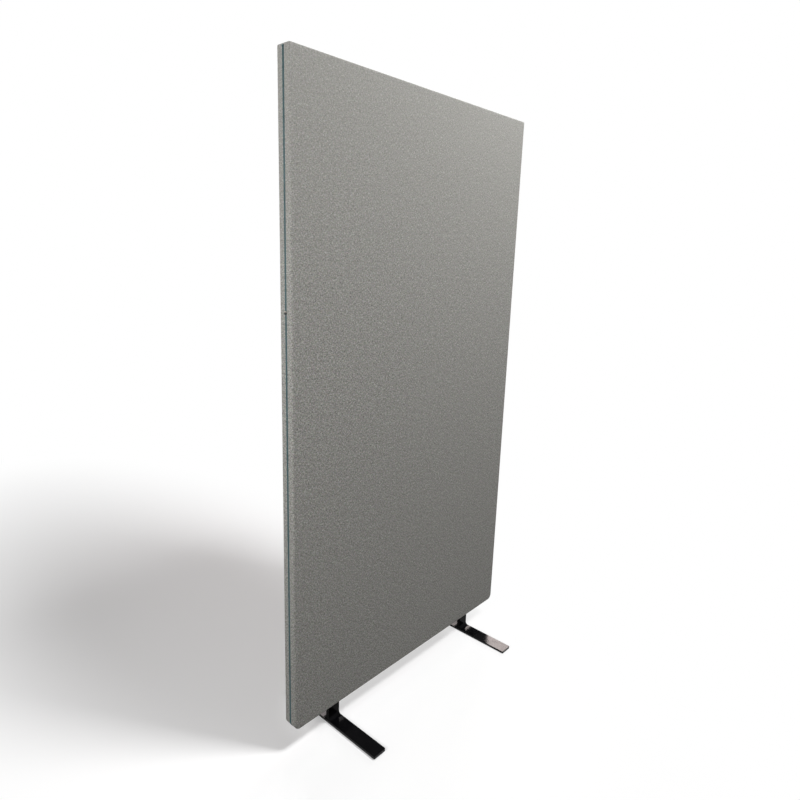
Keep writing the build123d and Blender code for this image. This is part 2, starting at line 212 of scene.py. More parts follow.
def zinc_plated(name, light, dull):
    """Zinc-plated steel in two tones."""
    material, tree, shader = finish_of(name, Metallic=1.0)
    tones = {"Light zinc": (*light, 1), "Dull zinc": (*dull, 1)}
    zinc = make_node(tree, "ShaderNodeGroup", tones, node_tree=plating)
    tree.links.new(zinc.outputs["Color"], shader.inputs["Base Color"])
    tree.links.new(zinc.outputs["Roughness"], shader.inputs["Roughness"])
    bump_on(tree, shader, zinc.outputs["Height"], strength=0.1, distance=0.0001)
    return material


screw_zinc = zinc_plated("yellow_zinc", (0.70, 0.56, 0.27), (0.48, 0.37, 0.17))
dress("frame_screws", screw_zinc)

# ---- Septum boards
# Two sheets of brown hardboard, pressed from wood fibre. They stand in the grooves of the frame and
# stop sound going through.

hardboard, hardboard_tree, hardboard_shader = finish_of("hardboard", Roughness=0.7)
board_place = object_place(hardboard_tree)
board_chips = speckle(hardboard_tree, board_place, Scale=260, Detail=5, Distortion=0.6)
board_colour = colour_ramp(
    hardboard_tree,
    board_chips.outputs["Fac"],
    [(0.3, (0.16, 0.085, 0.04)), (0.55, (0.27, 0.155, 0.075)), (0.75, (0.36, 0.22, 0.12))],
)
hardboard_tree.links.new(board_colour, hardboard_shader.inputs["Base Color"])
bump_on(hardboard_tree, hardboard_shader, board_chips.outputs["Fac"], strength=0.3, distance=0.0003)
for septum in ("lower_septum", "upper_septum"):
    dress(septum, hardboard)

# ---- Absorber slabs
# Four slabs of dark grey recycled felt, pressed in on both faces of each septum board. They are cut
# with a knife, so their edges are a little soft and their faces are not quite even.

fibres, fibres_in, fibres_out = shader_group(
    "matted_fibres",
    [
        ("Dark fibre", "NodeSocketColor", (0.1, 0.1, 0.1, 1)),
        ("Light fibre", "NodeSocketColor", (0.3, 0.3, 0.3, 1)),
        ("Coarseness", "NodeSocketFloat", 300.0),
    ],
    [("Color", "NodeSocketColor"), ("Height", "NodeSocketFloat")],
)
fibre_place = object_place(fibres)
curl = speckle(fibres, fibre_place, Scale=fibres_in.outputs["Coarseness"], Detail=6, Distortion=2.2)
clumps = speckle(fibres, fibre_place, Scale=34, Detail=3)
fibre_mix = maths(fibres, "ADD", curl.outputs["Fac"], clumps.outputs["Fac"])
dark_fibre, light_fibre = fibres_in.outputs["Dark fibre"], fibres_in.outputs["Light fibre"]
fibre_tone = colour_mix(fibres, ranged(fibres, fibre_mix, (0.75, 1.25)), dark_fibre, light_fibre)
fibres.links.new(fibre_tone, fibres_out.inputs["Color"])
fibres.links.new(fibre_mix, fibres_out.inputs["Height"])


def felt(name, dark, light, coarseness):
    """Matted fibre in two tones."""
    material, tree, shader = finish_of(name, Roughness=0.95, Sheen_Weight=0.15)
    values = {"Dark fibre": (*dark, 1), "Light fibre": (*light, 1), "Coarseness": coarseness}
    matted = make_node(tree, "ShaderNodeGroup", values, node_tree=fibres)
    tree.links.new(matted.outputs["Color"], shader.inputs["Base Color"])
    bump_on(tree, shader, matted.outputs["Height"], strength=0.6, distance=0.0006)
    return material


def keep_piece(name, mesh, material, smooth=True):
    """Makes a finished mesh a piece at the origin, with its finish."""
    mesh.name = name
    mesh.materials.clear()
    mesh.materials.append(material)
    mesh.shade_smooth() if smooth else mesh.shade_flat()
    piece = bpy.data.objects.new(name, mesh)
    bpy.context.scene.collection.objects.link(piece)
    return piece


same_point = 1e-6
same_plane, sharp_edge = math.radians(1), math.radians(40)
broad_dents, fine_dents = 22, 90


def soft_piece(node_name, name, material, pitch, sink, edge=0):
    """A soft piece in the place of a solid: its edges are rounded and its faces sink unevenly."""
    body = bmesh.new()
    body.from_mesh(nodes[node_name].data)
    bmesh.ops.remove_doubles(body, verts=body.verts, dist=same_point)
    bmesh.ops.dissolve_limit(body, angle_limit=same_plane, verts=body.verts, edges=body.edges)
    if edge:
        sharp = [e for e in body.edges if e.is_manifold and e.calc_face_angle(0) > sharp_edge]
        rounding = {"offset": edge, "segments": 2, "profile": 0.5, "clamp_overlap": True}
        bmesh.ops.bevel(body, geom=sharp, affect="EDGES", **rounding)
    low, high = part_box(node_name)
    for axis in (0, 2):
        count = int((high[axis] - low[axis]) / pitch)
        for k in range(1, count):
            place, way = Vector((0, 0, 0)), Vector((0, 0, 0))
            place[axis] = low[axis] + (high[axis] - low[axis]) * k / count
            way[axis] = 1
            whole = [*body.verts, *body.edges, *body.faces]
            bmesh.ops.bisect_plane(body, geom=whole, plane_co=place, plane_no=way, dist=same_point)
    bmesh.ops.triangulate(body, faces=[f for f in body.faces if len(f.verts) > 4])
    body.normal_update()
    for vert in body.verts:
        broad, fine = noise.noise(vert.co * broad_dents), noise.noise(vert.co * fine_dents)
        vert.co -= vert.normal * sink * max(0, min(1, 0.5 + 0.5 * broad + 0.3 * fine))
    bmesh.ops.recalc_face_normals(body, faces=body.faces)
    mesh = bpy.data.meshes.new(name)
    body.to_mesh(mesh)
    body.free()
    piece = keep_piece(name, mesh, material)
    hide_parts(node_name)
    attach(piece, "panel")
    return piece


absorber_felt = felt("recycled_felt", (0.05, 0.052, 0.055), (0.26, 0.26, 0.27), coarseness=420)
for bay in ("lower", "upper"):
    for face in ("front", "back"):
        solid, name = f"{bay}_{face}_absorber", f"{bay}_{face}_felt_slab"
        slab = soft_piece(solid, name, absorber_felt, pitch=0.03, sink=0.0006, edge=0.002)

# ---- Facing sheets
# A thin white needled felt sheet over each face of the frame, stapled at its rim. It rounds the
# edge and keeps the timber from showing through the cover.

facing_felt = felt("needled_felt", (0.52, 0.52, 0.50), (0.82, 0.82, 0.80), coarseness=600)
for face in ("front", "back"):
    solid, name = f"{face}_facing", f"{face}_facing_felt"
    sheet = soft_piece(solid, name, facing_felt, pitch=0.03, sink=0.0003)

# ---- Edge wadding
# Strips of white polyester wadding glued round the edge of the frame. The side strips have a
# shallow bed for the zip tapes and a channel that the back plate of the slider runs in.

wadding = felt("polyester_wadding", (0.66, 0.66, 0.65), (0.90, 0.90, 0.89), coarseness=260)
for edge in ("left", "right", "top", "bottom"):
    solid, name = f"{edge}_edge_wadding", f"{edge}_wadding_strip"
    strip = soft_piece(solid, name, wadding, pitch=0.012, sink=0.0001)

# ---- Fabric covers
# Two trays of felted wool-blend upholstery fabric, mottled grey, fainter toward the top, pulled
# tight over the wadding. They meet in a seam in the middle of the top and bottom edges, and fold in
# along the zip on each side.

cover_low, cover_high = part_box("front_cover")
half_width = cover_high[0]
panel_low, panel_high = cover_low[2], cover_high[2]
half_thickness = -cover_low[1]
bottom_corner, top_corner = 0.020, 0.004
edge_round = 0.004
cloth_thickness = 0.001
zip_fold, seam_fold, foot_fold = 0.0034, 0.00008, 0.0063
zip_fold_end = 0.477
foot_places, foot_fold_half = (-0.336, 0.336), 0.0218
fold_round = 0.0005
fold_change = 0.0003
face_step = 0.0125
corner_steps, edge_steps = 10, 6
flat_inset = 0.024
rim_insets = (flat_inset, 0.016, 0.009, edge_round)
wall_shares = (0.25, 0.5, 0.75, 0.9)
swell_height, swell_rim = 0.0005, 0.05
broad_swells, fine_swells = 5, 17
merge_reach, sliver_width = 2e-6, 1e-7


def spread(low, high, step, changes=()):
    """Places from low to high, at most a step apart, and a close pair round each change of fold."""
    count = math.ceil((high - low) / step)
    places = [low + (high - low) * k / count for k in range(count + 1)]
    places += [place + way for place in changes for way in (-fold_change, fold_change)]
    return sorted(places)


fold_ends = [centre + way * foot_fold_half for centre in foot_places for way in (-1, 1)]
fold_ends += [-zip_fold_end, zip_fold_end]
x_places = spread(-half_width + bottom_corner, half_width - bottom_corner, face_step, fold_ends)
z_places = spread(panel_low + bottom_corner, panel_high - top_corner, face_step)


def round_the_panel():
    """Stations round the panel: anchor, outward way, corner radius, and depth of the fold."""
    stations = []

    def corner(side, low, radius, start, fold):
        centre_z = panel_low + radius if low else panel_high - radius
        for k in range(1, corner_steps):
            turn = math.radians(start + 90 * k / corner_steps)
            way = (math.cos(turn), math.sin(turn))
            stations.append(((side * (half_width - radius), centre_z), way, radius, fold))

    def bottom_fold(x):
        if any(abs(x - centre) < foot_fold_half for centre in foot_places):
            return foot_fold
        return zip_fold if abs(x) > zip_fold_end else seam_fold

    for x in x_places:
        stations.append(((x, panel_low), (0, -1), 0, bottom_fold(x)))
    corner(1, True, bottom_corner, 270, zip_fold)
    for z in z_places:
        stations.append(((half_width, z), (1, 0), 0, zip_fold))
    corner(1, False, top_corner, 0, seam_fold)
    for x in [half_width - top_corner, *reversed(x_places), -half_width + top_corner]:
        stations.append(((x, panel_high), (0, 1), 0, seam_fold))
    corner(-1, False, top_corner, 90, seam_fold)
    for z in reversed(z_places):
        stations.append(((-half_width, z), (-1, 0), 0, zip_fold))
    corner(-1, True, bottom_corner, 180, zip_fold)
    return stations


def drawn_in(station, inset):
    """Where a station lies on the outline that is drawn in by an inset."""
    (x, z), (way_x, way_z), radius, _ = station
    reach = max(radius - inset, 0) if radius else -inset
    x, z = x + way_x * reach, z + way_z * reach
    wide = half_width - inset
    return max(-wide, min(wide, x)), max(panel_low + inset, min(panel_high - inset, z))


def cover_rings(skin):
    """The rings of one skin of the cover, from the flat face out to the fold: inset, depth from the
    panel's middle, share of the fold's depth that is added, and distance run along the cloth."""
    rings = [(inset, half_thickness - skin, 0, edge_round - inset) for inset in rim_insets]
    radius = edge_round - skin
    for k in range(1, edge_steps + 1):
        turn = math.radians(90 * k / edge_steps)
        depth = half_thickness - edge_round + radius * math.cos(turn)
        rings.append((edge_round - radius * math.sin(turn), depth, 0, edge_round * turn))
    wall = half_thickness - edge_round
    for share in wall_shares:
        rings.append((skin, wall * (1 - share), share, edge_round * math.pi / 2 + wall * share))
    return rings


def swell(x, z):
    """How far the cloth stands off its facing, which is a little uneven."""
    rim = min(half_width - abs(x), z - panel_low, panel_high - z) - edge_round
    calm = max(0, min(1, rim / swell_rim))
    broad = noise.noise(Vector((x * broad_swells, z * broad_swells, 3.7)))
    fine = noise.noise(Vector((x * fine_swells, z * fine_swells, 9.1)))
    return swell_height * calm * max(0, min(1, 0.5 + 0.5 * broad + 0.25 * fine))


def fabric_cover(face_name, face):
    """One cover: an outer and an inner skin, joined by the folded rim."""
    body = bmesh.new()
    flat = body.loops.layers.uv.new("flat_cloth")
    flat_of = {}
    stations = round_the_panel()

    def vert_at(x, depth, z, spot):
        vert = body.verts.new((x, face * depth, z))
        flat_of[vert] = spot
        return vert

    def skin_of(skin):
        rows = []
        for inset, depth, share, run in cover_rings(skin):
            row = []
            for station in stations:
                _, (way_x, way_z), _, fold = station
                x, z = drawn_in(station, inset)
                start_x, start_z = drawn_in(station, edge_round)
                fold += fold_round
                place = depth + (swell(x, z) if inset > edge_round else 0) + share * fold
                reach = run - share * fold
                spot = (start_x + way_x * reach, start_z + way_z * reach)
                row.append(vert_at(x, place, z, (x, z) if inset >= flat_inset else spot))
            rows.append(row)
        return rows

    outer, inner = skin_of(0), skin_of(cloth_thickness)
    rim = []
    for turn in range(0, 181, 30):
        swing = math.radians(turn)
        row = []
        for station in stations:
            _, (way_x, way_z), _, fold = station
            x, z = drawn_in(station, fold_round * (1 - math.cos(swing)))
            start_x, start_z = drawn_in(station, edge_round)
            depth = fold + fold_round * (1 - math.sin(swing))
            run = edge_round * math.pi / 2 + half_thickness - edge_round - depth
            row.append(vert_at(x, depth, z, (start_x + way_x * run, start_z + way_z * run)))
        rim.append(row)
    rows = outer + rim + inner[::-1]
    for row, after in zip(rows, rows[1:]):
        for k in range(len(stations)):
            m = (k + 1) % len(stations)
            body.faces.new((row[k], row[m], after[m], after[k]))
    wide, low, high = half_width - flat_inset, panel_low + flat_inset, panel_high - flat_inset
    xs = sorted({max(-wide, min(wide, x)) for x in [*x_places, half_width, -half_width]})
    zs = sorted({max(low, min(high, z)) for z in [*z_places, panel_low, panel_high]})
    for skin in (0, cloth_thickness):
        depth = half_thickness - skin
        grid = [[vert_at(x, depth + swell(x, z), z, (x, z)) for x in xs] for z in zs]
        for lower, upper in zip(grid, grid[1:]):
            for k in range(len(xs) - 1):
                body.faces.new((lower[k], lower[k + 1], upper[k + 1], upper[k]))
    for poly in body.faces:
        for loop in poly.loops:
            loop[flat].uv = flat_of[loop.vert]
    bmesh.ops.remove_doubles(body, verts=body.verts, dist=merge_reach)
    bmesh.ops.dissolve_degenerate(body, edges=body.edges, dist=sliver_width)
    bmesh.ops.recalc_face_normals(body, faces=body.faces)
    mesh = bpy.data.meshes.new(f"{face_name}_fabric_cover")
    body.to_mesh(mesh)
    body.free()
    return mesh


weave, weave_in, weave_out = shader_group(
    "woven_threads",
    [("Vector", "NodeSocketVector", (0, 0, 0)), ("Thread pitch", "NodeSocketFloat", 0.0013)],
    [("Warp on top", "NodeSocketFloat"), ("Height", "NodeSocketFloat")],
)
threads_per_metre = maths(weave, "DIVIDE", 1.0, weave_in.outputs["Thread pitch"])
thread_place = make_node(
    weave,
    "ShaderNodeVectorMath",
    {0: weave_in.outputs["Vector"], "Scale": threads_per_metre},
    operation="SCALE",
)
thread_axes = make_node(weave, "ShaderNodeSeparateXYZ", {"Vector": thread_place.outputs[0]})


def thread_wave(axis):
    """The rise and fall of the threads along one axis, from -1 to 1."""
    return maths(weave, "SINE", maths(weave, "MULTIPLY", thread_axes.outputs[axis], math.pi))


crossings = maths(weave, "MULTIPLY", thread_wave("X"), thread_wave("Y"))
crossing_edge = 0.12
warp_on_top = ranged(weave, crossings, (-crossing_edge, crossing_edge))
round_crown = maths(weave, "POWER", maths(weave, "ABSOLUTE", crossings), 0.5)
weave.links.new(warp_on_top, weave_out.inputs["Warp on top"])
weave.links.new(round_crown, weave_out.inputs["Height"])

yarn_pitch = 0.0014
cloud_share, tint_share, fleck_share, thread_share = 0.13, 0.16, 0.6, 0.45
fleck_tone, calm_tone = (0.045, 0.046, 0.048, 1), (0.254, 0.250, 0.232, 1)
calm_from, calm_most = 1.15, 0.55

wool, wool_tree, wool_shader = finish_of(
    "mottled_wool", Roughness=0.92, Sheen_Weight=0.12, Sheen_Roughness=0.5
)
flat_place = make_node(wool_tree, "ShaderNodeUVMap", uv_map="flat_cloth").outputs["UV"]
wool_place = object_place(wool_tree)
yarns = {"Vector": flat_place, "Thread pitch": yarn_pitch}
threads = make_node(wool_tree, "ShaderNodeGroup", yarns, node_tree=weave)


def streaks(scales, detail, seed):
    """Streaks of yarn colour on the flat cloth: a noise with a scale each way, moved by a seed."""
    stretched = make_node(
        wool_tree,
        "ShaderNodeMapping",
        {"Vector": flat_place, "Scale": (*scales, 1), "Location": (seed, seed, 0)},
    )
    return speckle(wool_tree, stretched.outputs[0], Scale=1.0, Detail=detail, Roughness=0.6)


weft_tone = streaks((160, 460), detail=1, seed=11.3).outputs["Fac"]
warp_tone = streaks((460, 160), detail=1, seed=47.1).outputs["Fac"]
melange = make_node(
    wool_tree,
    "ShaderNodeMix",
    {"Factor": threads.outputs["Warp on top"], 2: weft_tone, 3: warp_tone},
    data_type="FLOAT",
)
clouds = streaks((55, 60), detail=4, seed=5.9)
mottle = maths(wool_tree, "MULTIPLY_ADD", clouds.outputs["Fac"], cloud_share, melange.outputs[0])
wool_grey = colour_ramp(
    wool_tree,
    ranged(wool_tree, mottle, (0.315, 0.815)),
    [
        (0.0, (0.068, 0.067, 0.062)),
        (0.35, (0.199, 0.196, 0.180)),
        (0.6, (0.315, 0.309, 0.286)),
        (1.0, (0.60, 0.589, 0.557)),
    ],
)
hues = streaks((230, 230), detail=1, seed=83.0)
tinted = colour_mix(wool_tree, tint_share, wool_grey, hues.outputs["Color"], blend_type="OVERLAY")
flecks = streaks((290, 330), detail=0, seed=131.0)
fleck_spots = ranged(wool_tree, flecks.outputs["Fac"], (0.67, 0.73), (0, fleck_share))
flecked = colour_mix(wool_tree, fleck_spots, tinted, fleck_tone)
wool_height = make_node(wool_tree, "ShaderNodeSeparateXYZ", {"Vector": wool_place})
calm = ranged(wool_tree, wool_height.outputs["Z"], (calm_from, panel_high), (0, calm_most))
calmed = colour_mix(wool_tree, calm, flecked, calm_tone)
wool_tree.links.new(calmed, wool_shader.inputs["Base Color"])
fuzz = speckle(wool_tree, wool_place, Scale=900, Detail=4, Roughness=0.65, Distortion=1.2)
nap = maths(wool_tree, "MULTIPLY_ADD", threads.outputs["Height"], thread_share, fuzz.outputs["Fac"])
bump_on(wool_tree, wool_shader, nap, strength=0.42, distance=0.0005)

for face_name, face in (("front", -1), ("back", 1)):
    cover = keep_piece(f"{face_name}_fabric_cover", fabric_cover(face_name, face), wool)
    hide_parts(f"{face_name}_cover")
    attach(cover, "panel")

# ---- Zip tapes
# Woven polyester tapes in dark petrol, sewn behind the fold of each cover. They run down the edge,
# round the bottom corner and end tucked under the panel.

tape_inset, tape_thickness = 0.001, 0.0006
tape_across = (0.0003, 0.006, 0.013)
tape_top, tape_end = 1.865, 0.468
tape_pitch = 0.0004
straight_step, turn_steps = 0.05, 12


def edge_path(side, inset, top, end):
    """Points down one upright edge, round its bottom corner and along the bottom."""
    radius = bottom_corner - inset
    centre_x, centre_z = side * (half_width - bottom_corner), panel_low + bottom_corner
    edge_x = side * (half_width - inset)
    count = int((top - centre_z) / straight_step)
    path = [(edge_x, top + (centre_z - top) * k / count) for k in range(count)]
    for k in range(turn_steps + 1):
        turn = math.radians(90 * k / turn_steps)
        path.append((centre_x + side * radius * math.cos(turn), centre_z - radius * math.sin(turn)))
    path.append((side * end, panel_low + inset))
    return path


def band_along(side, name, top, end, section):
    """A band along the edge path, from a section of (inset, y) corners."""
    body = bmesh.new()
    flat = body.loops.layers.uv.new("flat_cloth")
    rows, spots, run = [], {}, 0
    middle = [Vector((x, 0, z)) for x, z in edge_path(side, 0, top, end)]
    lines = [edge_path(side, inset, top, end) for inset, _ in section]
    for k in range(len(middle)):
        run += (middle[k] - middle[k - 1]).length if k else 0
        row = []
        for line, (_, y) in zip(lines, section):
            x, z = line[k]
            row.append(body.verts.new((x, y, z)))
            spots[row[-1]] = (y, run)
        rows.append(row)
    count = len(section)
    for row, after in zip(rows, rows[1:]):
        for k in range(count):
            m = (k + 1) % count
            body.faces.new((row[k], row[m], after[m], after[k]))
    body.faces.new(rows[0])
    body.faces.new(rows[-1][::-1])
    for poly in body.faces:
        for loop in poly.loops:
            loop[flat].uv = spots[loop.vert]
    bmesh.ops.recalc_face_normals(body, faces=body.faces)
    mesh = bpy.data.meshes.new(name)
    body.to_mesh(mesh)
    body.free()
    return mesh


petrol_tape, tape_tree, tape_shader = finish_of("petrol_tape", Roughness=0.8, Sheen_Weight=0.1)
tape_place = make_node(tape_tree, "ShaderNodeUVMap", uv_map="flat_cloth").outputs["UV"]
tape_yarns = {"Vector": tape_place, "Thread pitch": tape_pitch}
tape_threads = make_node(tape_tree, "ShaderNodeGroup", tape_yarns, node_tree=weave)
# Painted shade: the tape is darker where its weave is low, in the hollows between threads.
tape_colour_with_painted_shade = colour_ramp(
    tape_tree,
    tape_threads.outputs["Height"],
    [(0.1, (0.010, 0.028, 0.032)), (0.9, (0.028, 0.075, 0.084))],
)
tape_tree.links.new(tape_colour_with_painted_shade, tape_shader.inputs["Base Color"])
bump_on(tape_tree, tape_shader, tape_threads.outputs["Height"], strength=0.5, distance=0.0001)

for side_name, side in (("left", -1), ("right", 1)):
    for face_name, face in (("front", -1), ("back", 1)):
        section = [(tape_inset, face * y) for y in tape_across]
        section += [(tape_inset + tape_thickness, face * y) for y in reversed(tape_across)]
        name = f"{side_name}_zip_{face_name}_woven_tape"
        band = band_along(side, name, tape_top, tape_end, section)
        tape = keep_piece(name, band, petrol_tape, smooth=False)
        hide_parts(f"{side_name}_zip_{face_name}_tape")
        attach(tape, "panel")

# ---- Zip coils
# Each half of the chain is a nylon coil woven to its tape: a row of narrow loops that lie across
# the edge, on a flat core. The loops stop short of the parting line, where the slider's neck runs.

coil_pitch, coil_stand_off = 0.00145, 0.0001
loop_length, loop_thickness, loop_height = 0.0027, 0.00105, 0.0014
loop_taper = 2.6
parting_gap = 0.0003
chain_top, chain_end = 1.863, 0.480
core_crown, core_foot = 0.0002, 0.001
core_section = [
    (core_crown, 0.0006),
    (core_crown, 0.0027),
    (core_foot, 0.003),
    (core_foot, parting_gap),
]


def coil_tree():
    """A geometry tree that lays a loop across its path at every pitch."""
    tree = bpy.data.node_groups.new("zip_coil", "GeometryNodeTree")
    tree.interface.new_socket(name="Path", in_out="INPUT", socket_type="NodeSocketGeometry")
    sizes = {
        "Pitch": coil_pitch,
        "Loop length": loop_length,
        "Loop thickness": loop_thickness,
        "Loop height share": loop_height / loop_thickness,
    }
    for label, value in sizes.items():
        size = tree.interface.new_socket(name=label, in_out="INPUT", socket_type="NodeSocketFloat")
        size.default_value = value
    tree.interface.new_socket(name="Finish", in_out="INPUT", socket_type="NodeSocketMaterial")
    tree.interface.new_socket(name="Loops", in_out="OUTPUT", socket_type="NodeSocketGeometry")
    given = tree.nodes.new("NodeGroupInput").outputs
    outlet = tree.nodes.new("NodeGroupOutput")

    def made(kind, inputs=None, **settings):
        return make_node(tree, kind, inputs, **settings).outputs[0]

    path = made("GeometryNodeMeshToCurve", {"Mesh": given["Path"]})
    pitches = {"Curve": path, "Length": given["Pitch"]}
    steps = made("GeometryNodeResampleCurve", pitches, mode="LENGTH")
    half_length = maths(tree, "MULTIPLY", given["Loop length"], 0.5)
    start = made("ShaderNodeCombineXYZ", {"Y": maths(tree, "MULTIPLY", half_length, -1.0)})
    end = made("ShaderNodeCombineXYZ", {"Y": half_length})
    bar = made("GeometryNodeCurvePrimitiveLine", {"Start": start, "End": end})
    bar_steps = made("GeometryNodeResampleCurve", {"Curve": bar, "Count": 6})
    off_middle = maths(tree, "SUBTRACT", made("GeometryNodeSplineParameter"), 0.5)
    squared = maths(tree, "MULTIPLY", off_middle, off_middle)
    taper = maths(tree, "MULTIPLY_ADD", squared, -loop_taper, 1.0)
    thinned = made("GeometryNodeSetCurveRadius", {"Curve": bar_steps, "Radius": taper})
    ring_radius = maths(tree, "MULTIPLY", given["Loop thickness"], 0.5)
    ring = made("GeometryNodeCurvePrimitiveCircle", {"Resolution": 8, "Radius": ring_radius})
    thinning = made("GeometryNodeInputRadius")
    loop = made(
        "GeometryNodeCurveToMesh",
        {"Curve": thinned, "Profile Curve": ring, "Scale": thinning, "Fill Caps": True},
    )
    down = {"Vector": made("GeometryNodeInputTangent")}
    turned = made("FunctionNodeAlignRotationToVector", down, axis="Z", pivot_axis="Y")
    stretch = made("ShaderNodeCombineXYZ", {"X": given["Loop height share"], "Y": 1.0, "Z": 1.0})
    laid = made(
        "GeometryNodeInstanceOnPoints",
        {"Points": steps, "Instance": loop, "Rotation": turned, "Scale": stretch},
    )
    real = made("GeometryNodeRealizeInstances", {"Geometry": laid})
    finished = made("GeometryNodeSetMaterial", {"Geometry": real, "Material": given["Finish"]})
    tree.links.new(finished, outlet.inputs["Loops"])
    return tree


def grown(name, path_points, tree, finish):
    """The plain mesh that a geometry tree makes from a path of points."""
    mesh = bpy.data.meshes.new(name + "_path")
    mesh.from_pydata(path_points, [(k, k + 1) for k in range(len(path_points) - 1)], [])
    holder = bpy.data.objects.new(name + "_path", mesh)
    bpy.context.scene.collection.objects.link(holder)
    modifier = holder.modifiers.new("grow", "NODES")
    modifier.node_group = tree
    finish_socket = next(item for item in tree.interface.items_tree if item.name == "Finish")
    modifier[finish_socket.identifier] = finish
    bpy.context.view_layer.update()
    evaluated = holder.evaluated_get(bpy.context.evaluated_depsgraph_get())
    result = bpy.data.meshes.new_from_object(evaluated)
    bpy.data.objects.remove(holder)
    return result


def joined(name, meshes):
    """One mesh from several."""
    body = bmesh.new()
    for mesh in meshes:
        body.from_mesh(mesh)
    mesh = bpy.data.meshes.new(name)
    body.to_mesh(mesh)
    body.free()
    return mesh


nylon, nylon_tree, nylon_shader = finish_of("petrol_nylon", Roughness=0.42)
nylon_wear = speckle(nylon_tree, object_place(nylon_tree), Scale=180, Detail=3).outputs["Fac"]
nylon_colour = colour_ramp(
    nylon_tree, nylon_wear, [(0.3, (0.034, 0.080, 0.088)), (0.7, (0.066, 0.132, 0.142))]
)
nylon_tree.links.new(nylon_colour, nylon_shader.inputs["Base Color"])
bump_on(nylon_tree, nylon_shader, nylon_wear, strength=0.15, distance=0.0001)

coil = coil_tree()
for side_name, side in (("left", -1), ("right", 1)):
    # The loops of the two halves take turns: the back half's start half a pitch further down.
    for face_name, face, pitches_down in (("front", -1, 0.25), ("back", 1, 0.75)):
        name = f"{side_name}_zip_{face_name}_coil"
        middle = face * (parting_gap + loop_length / 2)
        line = edge_path(side, -coil_stand_off, chain_top - coil_pitch * pitches_down, chain_end)
        loops = grown(name, [(x, middle, z) for x, z in line], coil, nylon)
        section = [(inset, face * y) for inset, y in core_section]
        core = band_along(side, name + "_core", chain_top, chain_end, section)
        half_chain = keep_piece(name, joined(name, [loops, core]), nylon)
        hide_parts(f"{side_name}_zip_{face_name}_chain")
        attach(half_chain, "panel")

# ---- Zip stops
# Small moulded stops at the top of each chain half, and one that clasps the end of both halves just
# past the bottom corner.

for side_name in ("left", "right"):
    dress(f"{side_name}_zip_top_stops", nylon)
    dress(f"{side_name}_zip_bottom_stop", nylon)

# ---- Zip sliders
# Die-cast sliders in dark lacquer, with a painted highlight: the nose, at the upper end, is painted
# light. Each has a bridge but no pull tab, as upholstery zips have.

# Painted highlight: above these heights each slider turns to the light tone.
slider_highlight_from, slider_highlight_to = 1.2676, 1.2712
slider_highlight_tone = (0.50, 0.475, 0.43, 1)

slider_lacquer, slider_tree, slider_shader = finish_of(
    "slider_lacquer", Roughness=0.32, Metallic=0.6
)
slider_place = object_place(slider_tree)
rubbed = speckle(slider_tree, slider_place, Scale=700, Detail=5).outputs["Fac"]
slider_colour = colour_ramp(
    slider_tree,
    rubbed,
    [(0.4, (0.02, 0.022, 0.024)), (0.62, (0.06, 0.065, 0.07)), (0.8, (0.3, 0.3, 0.29))],
)
slider_height = make_node(slider_tree, "ShaderNodeSeparateXYZ", {"Vector": slider_place})
# Painted highlight: a light band by height over the dark lacquer.
slider_painted_highlight = ranged(slider_tree, slider_height.outputs["Z"], (slider_highlight_from, slider_highlight_to))
slider_tone = colour_mix(slider_tree, slider_painted_highlight, slider_colour, slider_highlight_tone)
slider_tree.links.new(slider_tone, slider_shader.inputs["Base Color"])
bump_on(slider_tree, slider_shader, rubbed, strength=0.2, distance=0.0001)
for side_name in ("left", "right"):
    dress(f"{side_name}_zip_slider", slider_lacquer)

# ---- Feet
# A flat steel bar along the floor with a plate welded upright on its middle, in smooth black
# lacquer with a faint orange peel, glossy on the bar and duller on the upright.


def black_lacquer(name, gloss):
    """Black lacquer over steel, smeared by hands."""
    lacquer, tree, shader = finish_of(name, Specular_IOR_Level=gloss)
    place = object_place(tree)
    peel = speckle(tree, place, Scale=320, Detail=2)
    smears = speckle(tree, place, Scale=24, Detail=5, Distortion=0.8).outputs["Fac"]
    clean_black, smeared_black = (0.0022, 0.0022, 0.0028), (0.005, 0.005, 0.0058)
    colour = colour_ramp(tree, smears, [(0.35, clean_black), (0.7, smeared_black)])
    tree.links.new(colour, shader.inputs["Base Color"])
    tree.links.new(ranged(tree, smears, (0.3, 0.7), (0.10, 0.17)), shader.inputs["Roughness"])
    bump_on(tree, shader, peel.outputs["Fac"], strength=0.06, distance=0.0002)
    return lacquer


bar_lacquer = black_lacquer("gloss_black_lacquer", gloss=0.12)
upright_lacquer = black_lacquer("dull_black_lacquer", gloss=0.03)
for side_name in ("left", "right"):
    dress(f"{side_name}_foot_bar", bar_lacquer)
    dress(f"{side_name}_foot_upright", upright_lacquer)

# ---- Foot pads
# Hard rubber pads stuck under the tips of the bars. The screen stands on them, so the bars lie just
# clear of the floor.

rubber, rubber_tree, rubber_shader = finish_of("pad_rubber", Roughness=0.75)
rubber_dust = speckle(rubber_tree, object_place(rubber_tree), Scale=500, Detail=4).outputs["Fac"]
rubber_colour = colour_ramp(
    rubber_tree, rubber_dust, [(0.35, (0.012, 0.011, 0.011)), (0.75, (0.05, 0.045, 0.042))]
)
rubber_tree.links.new(rubber_colour, rubber_shader.inputs["Base Color"])
bump_on(rubber_tree, rubber_shader, rubber_dust, strength=0.3, distance=0.0002)
for side_name in ("left", "right"):
    for face_name in ("front", "back"):
        dress(f"{side_name}_foot_{face_name}_pad", rubber)

# ---- Sockets and their fixings
# Zinc-plated steel sockets let into the bottom rail, their screws, and the bolts, washers and nuts
# that clamp rail, socket and upright together.

bright_zinc = zinc_plated("bright_zinc", (0.66, 0.67, 0.68), (0.45, 0.46, 0.47))
for side_name in ("left", "right"):
    for fixing in ("socket", "bolts", "washers", "nuts"):
        dress(f"{side_name}_foot_{fixing}", bright_zinc)
    dress(f"{side_name}_foot_socket_screws", screw_zinc)
